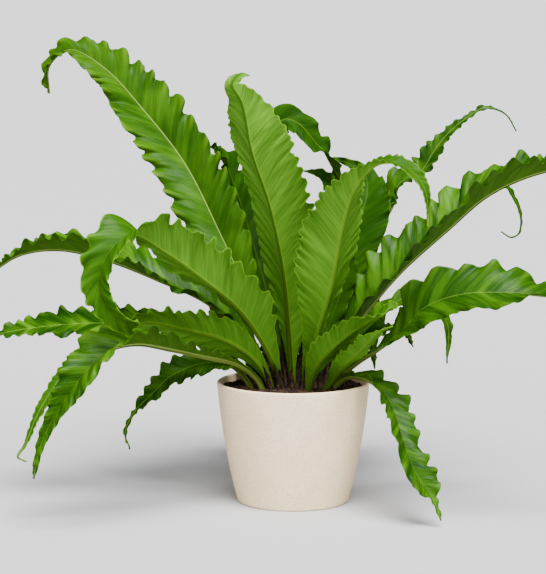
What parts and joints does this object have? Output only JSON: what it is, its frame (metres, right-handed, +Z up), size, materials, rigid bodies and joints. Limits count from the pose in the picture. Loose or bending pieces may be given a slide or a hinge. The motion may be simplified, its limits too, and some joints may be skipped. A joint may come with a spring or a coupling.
{
  "type": "potted fern",
  "caption": "Living fern with long waved strap-shaped fronds in a plain tapered round pot, set down on a floor, shelf or table.",
  "frame": {"origin": "centre of the pot's foot, on the surface it stands on", "axes": "+Z up along the pot's axis, -Y towards the viewer of the picture, +X to the viewer's right"},
  "size_m": [0.6007, 0.4214, 0.4559],
  "materials": {
    "pot": "matt, finely speckled cream",
    "soil": "dark crumbly potting soil",
    "crown": "dull brown fibrous rootstock",
    "frond": "glossy green above, matt lighter green below"
  },
  "bodies": {
    "root": {"pot": "pot", "soil": "soil", "crown": "crown", "frond_tall_left": "frond", "frond_front_upright": "frond", "frond_front_arching": "frond", "frond_left_folded": "frond", "frond_left_reaching": "frond", "frond_left_low": "frond", "frond_left_drooping": "frond", "frond_left_flat": "frond", "frond_right_hanging": "frond", "frond_left_hanging": "frond", "frond_right_broad": "frond", "frond_right_hooked": "frond", "frond_right_slender": "frond", "frond_back_arch": "frond", "frond_back_dark": "frond", "frond_back_folded": "frond", "frond_back_left": "frond", "frond_right_reaching": "frond", "frond_front_short": "frond", "frond_right_short": "frond", "frond_right_trailing": "frond", "frond_right_inner": "frond", "frond_rear_centre": "frond", "frond_rear_right": "frond", "frond_rear_left": "frond", "frond_rear_right_low": "frond", "frond_rear_left_low": "frond"}
  },
  "joints": []
}
